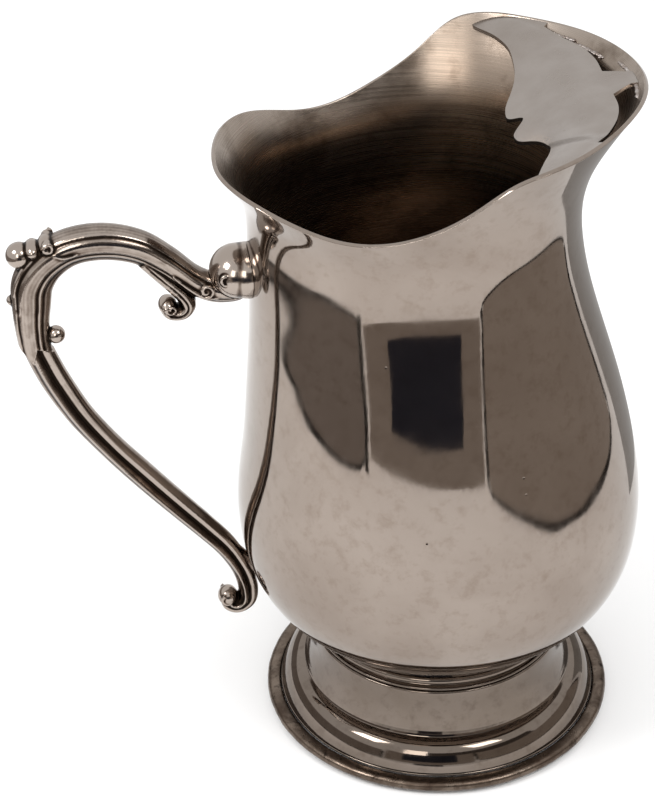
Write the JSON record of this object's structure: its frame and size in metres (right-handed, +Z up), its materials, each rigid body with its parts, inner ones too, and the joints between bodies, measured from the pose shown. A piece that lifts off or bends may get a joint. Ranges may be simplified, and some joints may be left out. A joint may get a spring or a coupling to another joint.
{
  "type": "water pitcher",
  "caption": "Footed silver-plated water pitcher with a pear-shaped body, raised spout with an ice guard, stepped round foot and cast scroll handle.",
  "frame": {"origin": "on the table, under the middle of the overall length, in the middle plane", "axes": "+X towards the spout, -X towards the handle, +Z up"},
  "size_m": [0.2068, 0.1366, 0.2371],
  "materials": {
    "silver_plate": "polished, lightly tarnished silver plate",
    "satin_silver": "satin silver plate",
    "foot_plate": "polished silver plate with fine lines",
    "worn_border": "worn and darkened silver plate",
    "cast_silver": "cast, polished on top and oxidised in the hollows"
  },
  "bodies": {
    "root": {"body_shell": "silver_plate", "ice_guard": "satin_silver", "foot_collar": "foot_plate", "foot_pedestal": "foot_plate", "foot_border": "worn_border", "handle_boss": "cast_silver", "handle_arch": "cast_silver", "handle_limb": "cast_silver"}
  },
  "joints": []
}
